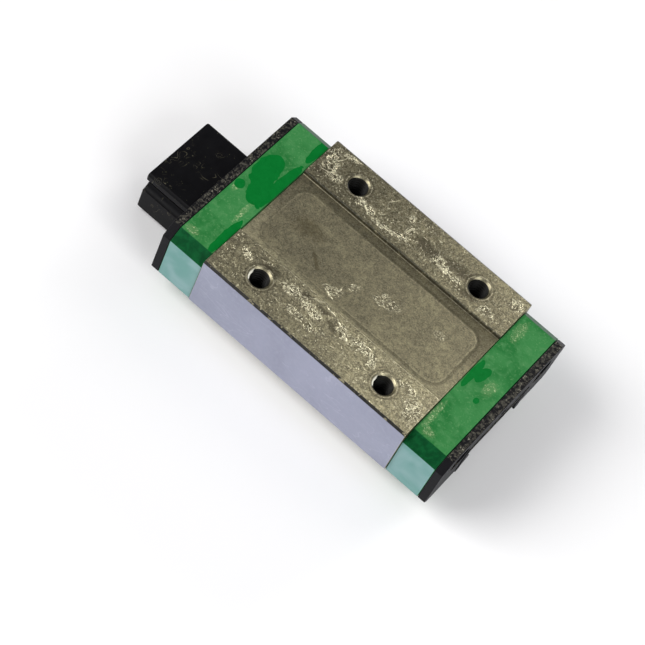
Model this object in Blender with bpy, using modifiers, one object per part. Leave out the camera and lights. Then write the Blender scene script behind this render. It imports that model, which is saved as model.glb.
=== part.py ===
"""Miniature linear guide carriage on its short dummy rail.

A steel block with two ball circuits runs on a 12 mm wide rail. Each circuit has a load row
between the block and the rail, a return row in a drilled hole, and a half turn in each end cap
around a small return guide. Rubber seals close both ends, and screws hold seals and caps on.

Units are metres. +X is the way of travel, +Y is across and +Z is up. The origin is on the
underside of the rail, below the middle of the carriage.
"""

import math

import bmesh
import bpy
from mathutils import Matrix, Vector

MM = 0.001

# Carriage envelope
BLOCK_LENGTH = 32.4 * MM
BLOCK_WIDTH = 27.0 * MM
CARRIAGE_TOP = 13.0 * MM
CARRIAGE_UNDERSIDE = 3.0 * MM
CARRIAGE_LENGTH = 45.4 * MM
SEAL_THICKNESS = 1.25 * MM
FIT_GAP = 0.03 * MM
SEAL_GAP = 0.05 * MM

# Block section
RECESS_HALF_WIDTH = 6.4 * MM
RECESS_DEPTH = 0.5 * MM
TOP_CHAMFER = 0.3 * MM
BOTTOM_CHAMFER = 1.0 * MM
SMALL_CHAMFER = 0.3 * MM

# Rail
RAIL_WIDTH = 12.0 * MM
RAIL_HEIGHT = 8.0 * MM
RAIL_REAR = -30.6 * MM
RAIL_FRONT = 21.4 * MM
RAIL_TOP_CHAMFER = 0.3 * MM
RAIL_BASE_CHAMFER = 0.7 * MM
WIRE_SLOT_HEIGHT = 0.8 * MM
WIRE_SLOT_DEPTH = 1.55 * MM

# Ball circuits
BALL_RADIUS = 2.381 * MM / 2
ROW_Y = 6.3 * MM
ROW_Z = 5.6 * MM
TURN_RADIUS = 2.42 * MM
BALLS_PER_ROW = 13
BALLS_PER_TURN = 3
BLOCK_GROOVE_RADIUS = 1.25 * MM
RAIL_GROOVE_RADIUS = 1.27 * MM
RETURN_CHANNEL_RADIUS = 1.30 * MM
GUIDE_HALF_HEIGHT = 1.15 * MM
NECK_RADIUS = 0.25 * MM

# Openings around the rail
BLOCK_CHANNEL_HALF_WIDTH = 6.35 * MM
CHANNEL_CEILING = 8.4 * MM
TONGUE_RADIUS = 1.10 * MM
SEAL_CLEARANCE = 0.10 * MM

# End cap section
CAP_TOP = 12.7 * MM
CAP_HALF_WIDTH = 13.25 * MM
CAP_TOP_CHAMFER = 1.6 * MM
CAP_BOTTOM_CHAMFER = 0.75 * MM

# Mounting holes for M3 screws
MOUNT_SPACING = 20.0 * MM
MOUNT_HOLE_RADIUS = 1.25 * MM
MOUNT_COUNTERSINK_RADIUS = 1.6 * MM
MOUNT_HOLE_DEPTH = 3.5 * MM
DRILL_TIP = 0.7 * MM

# End screws, M2 by 8
SCREW_Y = 8.9 * MM
SCREW_Z = 9.6 * MM
SCREW_RADIUS = 1.0 * MM
SCREW_LENGTH = 8.0 * MM
SCREW_HEAD_RADIUS = 1.7 * MM
SCREW_HEAD_HEIGHT = 0.9 * MM
SCREW_HEAD_EDGE = 0.25 * MM
SCREW_CAP_HOLE_RADIUS = 1.10 * MM
SCREW_BLOCK_HOLE_RADIUS = 1.05 * MM
SCREW_BLOCK_HOLE_DEPTH = 4.0 * MM
SCREW_SEAL_HOLE_RADIUS = 1.85 * MM

# Oil way
OIL_HOLE_RADIUS = 0.6 * MM
OIL_HOLE_Z = 10.6 * MM
OIL_GROOVE_WIDTH = 0.6 * MM
OIL_GROOVE_DEPTH = 0.6 * MM
OIL_GROOVE_Y = 7.05 * MM
OIL_GROOVE_LOW_Z = 6.2 * MM

# Ball retaining wire
WIRE_RADIUS = 0.2 * MM
WIRE_HOLE_RADIUS = 0.28 * MM
WIRE_Y = 4.86 * MM
WIRE_END_X = 20.6 * MM
WIRE_END_Y = 7.8 * MM
WIRE_BEND_RADIUS = 0.6 * MM

# Roundness of curved faces, in segments
ARC_STEPS = 8
HOLE_STEPS = 16
TURN_STEPS = 20
BEAD_ARC_STEPS = 5
BEAD_TURN_STEPS = 8
OVERCUT = 1.0 * MM

# Worked out from the above
BLOCK_HALF_LENGTH = BLOCK_LENGTH / 2
SEAL_OUTER_X = CARRIAGE_LENGTH / 2
SEAL_INNER_X = SEAL_OUTER_X - SEAL_THICKNESS
CAP_INNER_X = BLOCK_HALF_LENGTH + FIT_GAP
CAP_OUTER_X = SEAL_INNER_X - SEAL_GAP
PITCH = math.pi * TURN_RADIUS / BALLS_PER_TURN
TURN_X = BALLS_PER_ROW * PITCH / 2
TURN_Y = ROW_Y + TURN_RADIUS
RETURN_ROW_Y = ROW_Y + 2 * TURN_RADIUS

ENDS = {"rear": -1, "front": 1}
SIDES = {"right": -1, "left": 1}

# Turns a shape's own axes so that its Z lies along world X, its X along Y and its Y along Z.
Z_ALONG_X = Matrix(((0, 0, 1), (1, 0, 0), (0, 1, 0))).to_4x4()


def clear_scene():
    """Remove the objects that a new file starts with."""
    for item in list(bpy.data.objects):
        bpy.data.objects.remove(item, do_unlink=True)


def new_collection(name):
    """Make a collection in the scene."""
    collection = bpy.data.collections.new(name)
    bpy.context.scene.collection.children.link(collection)
    return collection


def new_material(name, color, roughness, metallic):
    """Make a Principled material with one colour."""
    material = bpy.data.materials.new(name)
    material.use_nodes = True
    shader = material.node_tree.nodes["Principled BSDF"]
    shader.inputs["Base Color"].default_value = (*color, 1.0)
    shader.inputs["Roughness"].default_value = roughness
    shader.inputs["Metallic"].default_value = metallic
    return material


def add_object(name, mesh, collection, matrix=None):
    """Put a mesh in a collection as a named object."""
    item = bpy.data.objects.new(name, mesh)
    collection.objects.link(item)
    if matrix is not None:
        item.matrix_world = matrix
    return item


def add_empty(name, location, collection):
    """Make an empty that moving pieces hang on, on their joint's axis."""
    item = bpy.data.objects.new(name, None)
    item.empty_display_size = 2 * MM
    item.location = location
    collection.objects.link(item)
    return item


def make_cutter(item):
    """Mark an object as a cutter, which isn't part of the model."""
    item.hide_render = True
    item.display_type = "WIRE"
    return item


def arc(centre, radius, start, stop, steps=ARC_STEPS):
    """Points along an arc, from one angle in degrees to another."""
    points = []
    for index in range(steps + 1):
        angle = math.radians(start + (stop - start) * index / steps)
        across = centre[0] + radius * math.cos(angle)
        up = centre[1] + radius * math.sin(angle)
        points.append((across, up))
    return points


def mirrored(half):
    """Close an outline across the middle plane, from its half at positive Y."""
    return half + [(-across, up) for across, up in reversed(half)]


def mesh_from_curve(name, curve, matrix, collection):
    """Turn a curve into a closed mesh object at the given place."""
    source = bpy.data.objects.new(name + "_curve", curve)
    collection.objects.link(source)
    source.matrix_world = matrix
    bpy.context.view_layer.update()
    evaluated = source.evaluated_get(bpy.context.evaluated_depsgraph_get())
    mesh = bpy.data.meshes.new_from_object(evaluated)
    mesh.name = name
    shape = bmesh.new()
    shape.from_mesh(mesh)
    bmesh.ops.remove_doubles(shape, verts=shape.verts, dist=MM / 1000)
    bmesh.ops.recalc_face_normals(shape, faces=shape.faces)
    shape.to_mesh(mesh)
    shape.free()
    item = add_object(name, mesh, collection, source.matrix_world)
    bpy.data.objects.remove(source, do_unlink=True)
    return item


def extruded(name, outline, start_x, end_x, collection):
    """Extrude a flat outline, given in Y and Z, along X."""
    curve = bpy.data.curves.new(name, "CURVE")
    curve.dimensions = "2D"
    curve.fill_mode = "BOTH"
    curve.extrude = abs(end_x - start_x) / 2
    spline = curve.splines.new("POLY")
    spline.points.add(len(outline) - 1)
    for point, (across, up) in zip(spline.points, outline):
        point.co = (across, up, 0.0, 1.0)
    spline.use_cyclic_u = True
    middle = Matrix.Translation(((start_x + end_x) / 2, 0.0, 0.0))
    return mesh_from_curve(name, curve, middle @ Z_ALONG_X, collection)


def tube(name, route, radius, collection):
    """Sweep a round section along a route of points."""
    curve = bpy.data.curves.new(name, "CURVE")
    curve.dimensions = "3D"
    curve.bevel_depth = radius
    curve.bevel_resolution = 2
    curve.use_fill_caps = True
    spline = curve.splines.new("POLY")
    spline.points.add(len(route) - 1)
    for point, place in zip(spline.points, route):
        point.co = (*place, 1.0)
    return mesh_from_curve(name, curve, Matrix.Identity(4), collection)


def turned(name, profile, matrix, collection, steps=TURN_STEPS):
    """Turn a profile of (radius, height) points, from top to bottom, about its own Z."""
    mesh = bpy.data.meshes.new(name)
    edges = [(index, index + 1) for index in range(len(profile) - 1)]
    mesh.from_pydata([(radius, 0.0, height) for radius, height in profile], edges, [])
    item = add_object(name, mesh, collection, matrix)
    screw = item.modifiers.new("Turn", "SCREW")
    screw.steps = steps
    screw.render_steps = steps
    screw.use_merge_vertices = True
    screw.merge_threshold = MM / 1000
    return item


def box_cutter(name, low, high, collection):
    """Make a box cutter between two corners."""
    size = Vector(high) - Vector(low)
    middle = (Vector(high) + Vector(low)) / 2
    mesh = bpy.data.meshes.new(name)
    shape = bmesh.new()
    bmesh.ops.create_cube(shape, size=1.0, matrix=Matrix.Diagonal((*size, 1.0)))
    shape.to_mesh(mesh)
    shape.free()
    return make_cutter(add_object(name, mesh, collection, Matrix.Translation(middle)))


def hole_cutter(name, radius, start_x, end_x, across, up, collection):
    """Make a round cutter along X."""
    mesh = bpy.data.meshes.new(name)
    shape = bmesh.new()
    bmesh.ops.create_cone(
        shape,
        cap_ends=True,
        segments=HOLE_STEPS,
        radius1=radius,
        radius2=radius,
        depth=abs(end_x - start_x),
    )
    shape.to_mesh(mesh)
    shape.free()
    place = Matrix.Translation(((start_x + end_x) / 2, across, up))
    return make_cutter(add_object(name, mesh, collection, place @ Z_ALONG_X))


def cut(item, cutters):
    """Cut each cutter out of an object with a Boolean."""
    for cutter in cutters:
        boolean = item.modifiers.new("Cut " + cutter.name, "BOOLEAN")
        boolean.operation = "DIFFERENCE"
        boolean.solver = "EXACT"
        boolean.object = cutter


def finish(item, material, parent=None):
    """Give a piece its material, smooth its round faces and hang it on its parent."""
    mesh = item.data
    if not mesh.materials:
        mesh.materials.append(material)
    mesh.shade_smooth()
    if mesh.polygons:
        mesh.set_sharp_from_angle(angle=math.radians(30))
    if parent is not None:
        bpy.context.view_layer.update()
        place = item.matrix_world.copy()
        item.parent = parent
        item.matrix_parent_inverse = parent.matrix_world.inverted()
        item.matrix_world = place
    return item


def groove_arc(radius, edge_y):
    """Angle from straight down, in degrees, at which a groove's arc meets a wall at edge_y."""
    return math.degrees(math.asin((ROW_Y - edge_y) / radius))


def block_outline():
    """Section of the steel block: raised pads on top, ball grooves in the channel's walls."""
    half_width = BLOCK_WIDTH / 2
    recess_floor = CARRIAGE_TOP - RECESS_DEPTH
    wall = BLOCK_CHANNEL_HALF_WIDTH
    groove = groove_arc(BLOCK_GROOVE_RADIUS, wall)
    half = [
        (RECESS_HALF_WIDTH, recess_floor),
        (RECESS_HALF_WIDTH, CARRIAGE_TOP),
        (half_width - TOP_CHAMFER, CARRIAGE_TOP),
        (half_width, CARRIAGE_TOP - TOP_CHAMFER),
        (half_width, CARRIAGE_UNDERSIDE + BOTTOM_CHAMFER),
        (half_width - BOTTOM_CHAMFER, CARRIAGE_UNDERSIDE),
        (wall + SMALL_CHAMFER, CARRIAGE_UNDERSIDE),
        (wall, CARRIAGE_UNDERSIDE + SMALL_CHAMFER),
    ]
    half += arc((ROW_Y, ROW_Z), BLOCK_GROOVE_RADIUS, -90 - groove, 90 + groove)
    half += [
        (wall, CHANNEL_CEILING - SMALL_CHAMFER),
        (wall - SMALL_CHAMFER, CHANNEL_CEILING),
    ]
    return mirrored(half)


def end_outline(opening):
    """Section of an end cap or seal around the given half opening, listed from the bottom up."""
    half = [
        (CAP_HALF_WIDTH - CAP_TOP_CHAMFER, CAP_TOP),
        (CAP_HALF_WIDTH, CAP_TOP - CAP_TOP_CHAMFER),
        (CAP_HALF_WIDTH, CARRIAGE_UNDERSIDE + CAP_BOTTOM_CHAMFER),
        (CAP_HALF_WIDTH - CAP_BOTTOM_CHAMFER, CARRIAGE_UNDERSIDE),
    ]
    return mirrored(half + opening)


def opening_half(wall, ceiling, tongue_radius):
    """Half of an opening around the rail, with a tongue that reaches into the rail's groove."""
    tongue = groove_arc(tongue_radius, wall)
    half = [
        (wall + SMALL_CHAMFER, CARRIAGE_UNDERSIDE),
        (wall, CARRIAGE_UNDERSIDE + SMALL_CHAMFER),
    ]
    half += arc((ROW_Y, ROW_Z), tongue_radius, 270 - tongue, 90 + tongue)
    half += [
        (wall, ceiling - SMALL_CHAMFER),
        (wall - SMALL_CHAMFER, ceiling),
    ]
    return half


def rail_outline():
    """Section of the rail: a ball groove on each side, with a slot for the retaining wire."""
    wall = RAIL_WIDTH / 2
    groove = groove_arc(RAIL_GROOVE_RADIUS, wall)
    slot_angle = math.degrees(math.asin(WIRE_SLOT_HEIGHT / 2 / RAIL_GROOVE_RADIUS))
    slot_floor = wall - WIRE_SLOT_DEPTH
    centre = (ROW_Y, ROW_Z)
    half = [
        (wall - RAIL_BASE_CHAMFER, 0.0),
        (wall, RAIL_BASE_CHAMFER),
    ]
    half += arc(centre, RAIL_GROOVE_RADIUS, 270 - groove, 180 + slot_angle, ARC_STEPS // 2)
    half += [
        (slot_floor, ROW_Z - WIRE_SLOT_HEIGHT / 2),
        (slot_floor, ROW_Z + WIRE_SLOT_HEIGHT / 2),
    ]
    half += arc(centre, RAIL_GROOVE_RADIUS, 180 - slot_angle, 90 + groove, ARC_STEPS // 2)
    half += [
        (wall, RAIL_HEIGHT - RAIL_TOP_CHAMFER),
        (wall - RAIL_TOP_CHAMFER, RAIL_HEIGHT),
    ]
    return mirrored(half)


def guide_profile():
    """Profile of a return guide: a disc with a concave rim that the balls roll around."""
    radius = RAIL_GROOVE_RADIUS
    rise = math.degrees(math.asin(GUIDE_HALF_HEIGHT / radius))
    profile = [(0.0, GUIDE_HALF_HEIGHT)]
    profile += arc((TURN_RADIUS, 0.0), radius, 180 - rise, 180 + rise)
    profile.append((0.0, -GUIDE_HALF_HEIGHT))
    return profile


def pocket_profile():
    """Profile of the space in a cap for a return guide and the balls that turn around it."""
    radius = RETURN_CHANNEL_RADIUS
    half_height = GUIDE_HALF_HEIGHT + FIT_GAP
    rise = math.degrees(math.asin(half_height / radius))
    profile = [(0.0, half_height)]
    profile += arc((TURN_RADIUS, 0.0), radius, 180 - rise, rise - 180, 2 * ARC_STEPS)
    profile.append((0.0, -half_height))
    return profile


def screw_profile():
    """Profile of an end screw, with its head's seat at height 0."""
    shank_end = -SCREW_LENGTH
    return [
        (0.0, SCREW_HEAD_HEIGHT),
        (SCREW_HEAD_RADIUS - SCREW_HEAD_EDGE, SCREW_HEAD_HEIGHT),
        (SCREW_HEAD_RADIUS, SCREW_HEAD_HEIGHT - SCREW_HEAD_EDGE),
        (SCREW_HEAD_RADIUS, 0.0),
        (SCREW_RADIUS, 0.0),
        (SCREW_RADIUS, shank_end + SMALL_CHAMFER),
        (SCREW_RADIUS - SMALL_CHAMFER, shank_end),
        (0.0, shank_end),
    ]


def mount_hole_profile():
    """Profile of a tapped mounting hole with a countersunk mouth, from above the top face."""
    countersink = MOUNT_COUNTERSINK_RADIUS - MOUNT_HOLE_RADIUS
    return [
        (0.0, OVERCUT),
        (MOUNT_COUNTERSINK_RADIUS + OVERCUT, OVERCUT),
        (MOUNT_HOLE_RADIUS, -countersink),
        (MOUNT_HOLE_RADIUS, -MOUNT_HOLE_DEPTH),
        (0.0, -MOUNT_HOLE_DEPTH - DRILL_TIP),
    ]


def bead_string_profile():
    """Profile of a row of balls with thin necks between them, from one end to the other."""
    neck_angle = math.degrees(math.asin(NECK_RADIUS / BALL_RADIUS))
    profile = []
    for index in range(BALLS_PER_ROW):
        centre = (BALLS_PER_ROW - 1 - 2 * index) * PITCH / 2
        start = 0.0 if index == 0 else neck_angle
        stop = 180.0 if index == BALLS_PER_ROW - 1 else 180.0 - neck_angle
        for height, radius in arc((centre, 0.0), BALL_RADIUS, start, stop, BEAD_ARC_STEPS):
            profile.append((radius, height))
    return profile


def wire_route(side):
    """Route of a retaining wire: along the rail's groove, then out into both caps."""
    corner_x = WIRE_END_X - WIRE_BEND_RADIUS
    corner_y = WIRE_Y + WIRE_BEND_RADIUS
    half = [(WIRE_END_X, WIRE_END_Y)]
    half += arc((corner_x, corner_y), WIRE_BEND_RADIUS, 0, -90, ARC_STEPS // 2)
    route = half + [(-along, across) for along, across in reversed(half)]
    return [(along, side * across, ROW_Z) for along, across in route]


def make_block(model, cutters, material):
    """Make the steel block with its return holes, mounting holes and end screw holes."""
    block = extruded(
        "carriage_block", block_outline(), -BLOCK_HALF_LENGTH, BLOCK_HALF_LENGTH, model
    )
    tools = []
    for side_name, side in SIDES.items():
        tools.append(
            hole_cutter(
                f"cut_return_{side_name}",
                RETURN_CHANNEL_RADIUS,
                -BLOCK_HALF_LENGTH - OVERCUT,
                BLOCK_HALF_LENGTH + OVERCUT,
                side * RETURN_ROW_Y,
                ROW_Z,
                cutters,
            )
        )
        for end_name, end in ENDS.items():
            place = Matrix.Translation(
                (end * MOUNT_SPACING / 2, side * MOUNT_SPACING / 2, CARRIAGE_TOP)
            )
            hole = turned(
                f"cut_mount_{end_name}_{side_name}",
                mount_hole_profile(),
                place,
                cutters,
                HOLE_STEPS,
            )
            tools.append(make_cutter(hole))
            tools.append(
                hole_cutter(
                    f"cut_block_screw_{end_name}_{side_name}",
                    SCREW_BLOCK_HOLE_RADIUS,
                    end * (BLOCK_HALF_LENGTH - SCREW_BLOCK_HOLE_DEPTH),
                    end * (BLOCK_HALF_LENGTH + OVERCUT),
                    side * SCREW_Y,
                    SCREW_Z,
                    cutters,
                )
            )
    cut(block, tools)
    finish(block, material)


def make_pockets(end_name, end, cutters):
    """Make the cutters for the ball turns at one end."""
    tools = []
    for side_name, side in SIDES.items():
        place = Matrix.Translation((end * TURN_X, side * TURN_Y, ROW_Z))
        pocket = turned(
            f"cut_turn_{end_name}_{side_name}",
            pocket_profile(),
            place,
            cutters,
        )
        tools.append(make_cutter(pocket))
    return tools


def make_end_holes(kind, end_name, end, screw_radius, inner_x, outer_x, cutters):
    """Make the cutters for the oil hole and the two screw holes through a cap or a seal."""
    start = end * (inner_x - OVERCUT)
    stop = end * (outer_x + OVERCUT)
    tools = [
        hole_cutter(
            f"cut_{kind}_oil_{end_name}", OIL_HOLE_RADIUS, start, stop, 0.0, OIL_HOLE_Z, cutters
        )
    ]
    for side_name, side in SIDES.items():
        tools.append(
            hole_cutter(
                f"cut_{kind}_screw_{end_name}_{side_name}",
                screw_radius,
                start,
                stop,
                side * SCREW_Y,
                SCREW_Z,
                cutters,
            )
        )
    return tools


def make_oil_groove(end_name, end, cutters):
    """Make the cutter for the oil groove in a cap's inner face, from the oil hole to the turns."""
    half_width = OIL_GROOVE_WIDTH / 2
    outer = OIL_GROOVE_Y + half_width
    inner = OIL_GROOVE_Y - half_width
    half = [
        (outer, OIL_HOLE_Z + half_width),
        (outer, OIL_GROOVE_LOW_Z),
        (inner, OIL_GROOVE_LOW_Z),
        (inner, OIL_HOLE_Z - half_width),
    ]
    groove = extruded(
        f"cut_oil_groove_{end_name}",
        mirrored(half),
        end * (CAP_INNER_X - OVERCUT),
        end * (CAP_INNER_X + OIL_GROOVE_DEPTH),
        cutters,
    )
    return make_cutter(groove)


def make_cap(end_name, end, wire_cutters, model, cutters, material):
    """Make an end cap, which turns the balls round and lets oil in."""
    opening = opening_half(BLOCK_CHANNEL_HALF_WIDTH, CHANNEL_CEILING, TONGUE_RADIUS)
    cap = extruded(
        f"end_cap_{end_name}",
        end_outline(opening),
        end * CAP_INNER_X,
        end * CAP_OUTER_X,
        model,
    )
    tools = make_pockets(end_name, end, cutters)
    tools += make_end_holes(
        "cap", end_name, end, SCREW_CAP_HOLE_RADIUS, CAP_INNER_X, CAP_OUTER_X, cutters
    )
    tools.append(make_oil_groove(end_name, end, cutters))
    cut(cap, tools + wire_cutters)
    finish(cap, material)


def make_seal(end_name, end, model, cutters, material):
    """Make an end seal, whose lips follow the rail."""
    opening = opening_half(
        RAIL_WIDTH / 2 + SEAL_CLEARANCE,
        RAIL_HEIGHT + SEAL_CLEARANCE,
        RAIL_GROOVE_RADIUS - SEAL_CLEARANCE,
    )
    seal = extruded(
        f"end_seal_{end_name}",
        end_outline(opening),
        end * SEAL_INNER_X,
        end * SEAL_OUTER_X,
        model,
    )
    tools = make_end_holes(
        "seal", end_name, end, SCREW_SEAL_HOLE_RADIUS, SEAL_INNER_X, SEAL_OUTER_X, cutters
    )
    cut(seal, tools)
    finish(seal, material)


def make_guides(end_name, end, model, cutters, material):
    """Make the two return guides at one end, each cut flat where it meets the block."""
    reach = 2 * TURN_RADIUS
    flat_x = end * CAP_INNER_X
    back_x = flat_x - end * 2 * TURN_RADIUS
    for side_name, side in SIDES.items():
        centre_y = side * TURN_Y
        guide = turned(
            f"return_guide_{end_name}_{side_name}",
            guide_profile(),
            Matrix.Translation((end * TURN_X, centre_y, ROW_Z)),
            model,
        )
        flat = box_cutter(
            f"cut_guide_{end_name}_{side_name}",
            (min(flat_x, back_x), centre_y - reach, ROW_Z - reach),
            (max(flat_x, back_x), centre_y + reach, ROW_Z + reach),
            cutters,
        )
        cut(guide, [flat])
        finish(guide, material)


def make_screws(end_name, end, model, material):
    """Make the two screws that hold the seal and the cap at one end."""
    outward = Matrix.Rotation(end * math.pi / 2, 4, "Y")
    for side_name, side in SIDES.items():
        seat = Matrix.Translation((end * (CAP_OUTER_X + FIT_GAP), side * SCREW_Y, SCREW_Z))
        screw = turned(
            f"end_screw_{end_name}_{side_name}", screw_profile(), seat @ outward, model, HOLE_STEPS
        )
        finish(screw, material)


def make_wires(model, cutters, material):
    """Make the two retaining wires, and return the cutters for their holes in the caps."""
    tools = []
    for side_name, side in SIDES.items():
        route = wire_route(side)
        finish(tube(f"retainer_wire_{side_name}", route, WIRE_RADIUS, model), material)
        end_hole = tube(f"cut_wire_{side_name}", route, WIRE_HOLE_RADIUS, cutters)
        tools.append(make_cutter(end_hole))
    return tools


def make_ball_mesh():
    """Make the mesh that every separate ball shares."""
    mesh = bpy.data.meshes.new("ball")
    shape = bmesh.new()
    bmesh.ops.create_icosphere(shape, subdivisions=2, radius=BALL_RADIUS)
    shape.to_mesh(mesh)
    shape.free()
    return mesh


def make_load_row(side_name, side, ball_mesh, model, material):
    """Make the row of balls that carries the load on one side."""
    row = add_empty(f"load_row_{side_name}_slide", (0.0, side * ROW_Y, ROW_Z), model)
    for index in range(BALLS_PER_ROW):
        along = (2 * index + 1 - BALLS_PER_ROW) * PITCH / 2
        place = Matrix.Translation((along, side * ROW_Y, ROW_Z))
        ball = add_object(f"load_ball_{side_name}_{index + 1:02d}", ball_mesh, model, place)
        finish(ball, material, row)


def make_turn(end_name, end, side_name, side, ball_mesh, model, material):
    """Make the balls that are on their way round one return guide."""
    centre = Vector((end * TURN_X, side * TURN_Y, ROW_Z))
    pivot = add_empty(f"turn_{end_name}_{side_name}_pivot", centre, model)
    for index in range(BALLS_PER_TURN):
        angle = math.pi * (index + 0.5) / BALLS_PER_TURN
        offset = Vector((end * math.sin(angle), -side * math.cos(angle), 0.0)) * TURN_RADIUS
        place = Matrix.Translation(centre + offset)
        name = f"turn_ball_{end_name}_{side_name}_{index + 1}"
        finish(add_object(name, ball_mesh, model, place), material, pivot)


def make_return_row(side_name, side, model, material):
    """Make the row of balls that runs back through the block on one side."""
    centre = (0.0, side * RETURN_ROW_Y, ROW_Z)
    slide = add_empty(f"return_row_{side_name}_slide", centre, model)
    row = turned(
        f"return_row_{side_name}",
        bead_string_profile(),
        Matrix.Translation(centre) @ Z_ALONG_X,
        model,
        BEAD_TURN_STEPS,
    )
    finish(row, material, slide)


def make_rail(model, material):
    """Make the short rail that holds the balls in until the carriage is fitted."""
    rail = extruded("dummy_rail", rail_outline(), RAIL_REAR, RAIL_FRONT, model)
    finish(rail, material)


def main():
    """Build the whole carriage."""
    clear_scene()
    model = new_collection("linear_guide_carriage")
    cutters = new_collection("cutters")

    steel = new_material("ground_steel", (0.30, 0.28, 0.24), 0.35, 1.0)
    ball_steel = new_material("ball_steel", (0.80, 0.80, 0.82), 0.08, 1.0)
    screw_steel = new_material("screw_steel", (0.50, 0.50, 0.50), 0.30, 1.0)
    green_plastic = new_material("green_plastic", (0.04, 0.26, 0.10), 0.35, 0.0)
    guide_plastic = new_material("guide_plastic", (0.75, 0.75, 0.72), 0.45, 0.0)
    rail_plastic = new_material("rail_plastic", (0.01, 0.01, 0.01), 0.30, 0.0)
    seal_rubber = new_material("seal_rubber", (0.012, 0.012, 0.012), 0.55, 0.0)

    make_block(model, cutters, steel)
    wire_cutters = make_wires(model, cutters, screw_steel)
    for end_name, end in ENDS.items():
        make_cap(end_name, end, wire_cutters, model, cutters, green_plastic)
        make_seal(end_name, end, model, cutters, seal_rubber)
        make_guides(end_name, end, model, cutters, guide_plastic)
        make_screws(end_name, end, model, screw_steel)
    ball_mesh = make_ball_mesh()
    for side_name, side in SIDES.items():
        make_load_row(side_name, side, ball_mesh, model, ball_steel)
        make_return_row(side_name, side, model, ball_steel)
        for end_name, end in ENDS.items():
            make_turn(end_name, end, side_name, side, ball_mesh, model, ball_steel)
    make_rail(model, rail_plastic)


main()
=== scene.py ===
"""Looks of the miniature linear guide carriage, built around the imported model."""

import math

import bmesh
import bpy
from mathutils import Matrix, Vector


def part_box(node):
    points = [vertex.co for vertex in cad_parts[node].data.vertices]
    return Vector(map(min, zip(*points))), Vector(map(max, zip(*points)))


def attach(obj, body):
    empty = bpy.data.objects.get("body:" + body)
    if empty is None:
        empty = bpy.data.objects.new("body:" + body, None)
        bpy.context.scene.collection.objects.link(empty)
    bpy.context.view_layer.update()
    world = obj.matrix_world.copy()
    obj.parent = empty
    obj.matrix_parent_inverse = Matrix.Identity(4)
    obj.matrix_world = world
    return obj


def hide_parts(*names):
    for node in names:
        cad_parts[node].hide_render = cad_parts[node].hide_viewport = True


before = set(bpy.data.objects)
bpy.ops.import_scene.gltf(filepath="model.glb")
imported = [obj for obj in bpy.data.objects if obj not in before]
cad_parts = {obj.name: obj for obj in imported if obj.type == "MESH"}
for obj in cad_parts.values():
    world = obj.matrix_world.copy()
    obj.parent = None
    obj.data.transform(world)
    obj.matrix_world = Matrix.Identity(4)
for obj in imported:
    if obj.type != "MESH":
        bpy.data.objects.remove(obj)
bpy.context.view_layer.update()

MM = 0.001
ENDS = {"rear": -1, "front": 1}
SIDES = {"right": -1, "left": 1}

# Places and sizes that the frame gives
BLOCK_LOW, BLOCK_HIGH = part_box("carriage_block")
CAP_LOW, CAP_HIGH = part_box("end_cap_front")
SEAL_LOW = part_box("end_seal_front")[0]
RAIL_LOW, RAIL_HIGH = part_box("dummy_rail")
WIRE_LOW, WIRE_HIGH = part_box("retainer_wire_left")
SCREW_LOW, SCREW_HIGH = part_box("end_screw_front_left")
BALL_LOW, BALL_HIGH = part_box("load_ball_left_07")
RETURN_LOW, RETURN_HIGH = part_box("return_row_left")

# Places and sizes inside those boxes
BALL_RADIUS = 2.381 * MM / 2
ROW_Y = (BALL_LOW.y + BALL_HIGH.y) / 2
ROW_Z = (BALL_LOW.z + BALL_HIGH.z) / 2
RETURN_Y = (RETURN_LOW.y + RETURN_HIGH.y) / 2
TURN_RADIUS = (RETURN_Y - ROW_Y) / 2
TURN_Y = ROW_Y + TURN_RADIUS
BALLS_PER_ROW = 13
BALLS_PER_TURN = 3
PITCH = math.pi * TURN_RADIUS / BALLS_PER_TURN
TURN_X = BALLS_PER_ROW * PITCH / 2
CHANNEL_RADIUS = 1.30 * MM
BLOCK_GROOVE_RADIUS = 1.25 * MM
RAIL_GROOVE_RADIUS = 1.27 * MM
GUIDE_HALF_HEIGHT = 1.15 * MM
RECESS_HALF_WIDTH = 6.4 * MM
RECESS_DEPTH = 0.5 * MM
CHANNEL_HALF_WIDTH = 6.35 * MM
CHANNEL_CEILING = 8.4 * MM
EDGE_BREAK = 0.3 * MM
MOUNT_OFFSET = 10.0 * MM
MOUNT_DEPTH = 3.5 * MM
MOUNT_THREAD = 1.5 * MM
MOUNT_CORE = 1.25 * MM
MOUNT_PITCH = 0.5 * MM
CAP_TOP_CHAMFER = 1.6 * MM
CAP_BOTTOM_CHAMFER = 0.75 * MM
SCREW_Y = (SCREW_LOW.y + SCREW_HIGH.y) / 2
SCREW_Z = (SCREW_LOW.z + SCREW_HIGH.z) / 2
SCREW_HEAD_HEIGHT = 0.9 * MM
SCREW_HEAD_HOLE = 1.85 * MM
SCREW_CAP_HOLE = 1.1 * MM
SCREW_BLOCK_HOLE = 1.05 * MM
SCREW_CORE = 0.8 * MM
SCREW_THREAD = 0.98 * MM
SCREW_PITCH = 0.4 * MM
OIL_HOLE_Z = 10.6 * MM
OIL_HOLE_RADIUS = 0.6 * MM
LIP_HEIGHT = 0.12 * MM
LIP_WIDTH = 0.7 * MM
LIP_CLEARANCE = 0.06 * MM
SHARP_ANGLE = math.radians(38)


# ---------------------------------------------------------------- outlines


def arc(centre, radius, start, stop, steps):
    """Points along an arc, from one angle in degrees to another."""
    points = []
    for index in range(steps + 1):
        angle = math.radians(start + (stop - start) * index / steps)
        across = centre[0] + radius * math.cos(angle)
        up = centre[1] + radius * math.sin(angle)
        points.append((across, up))
    return points


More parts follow.
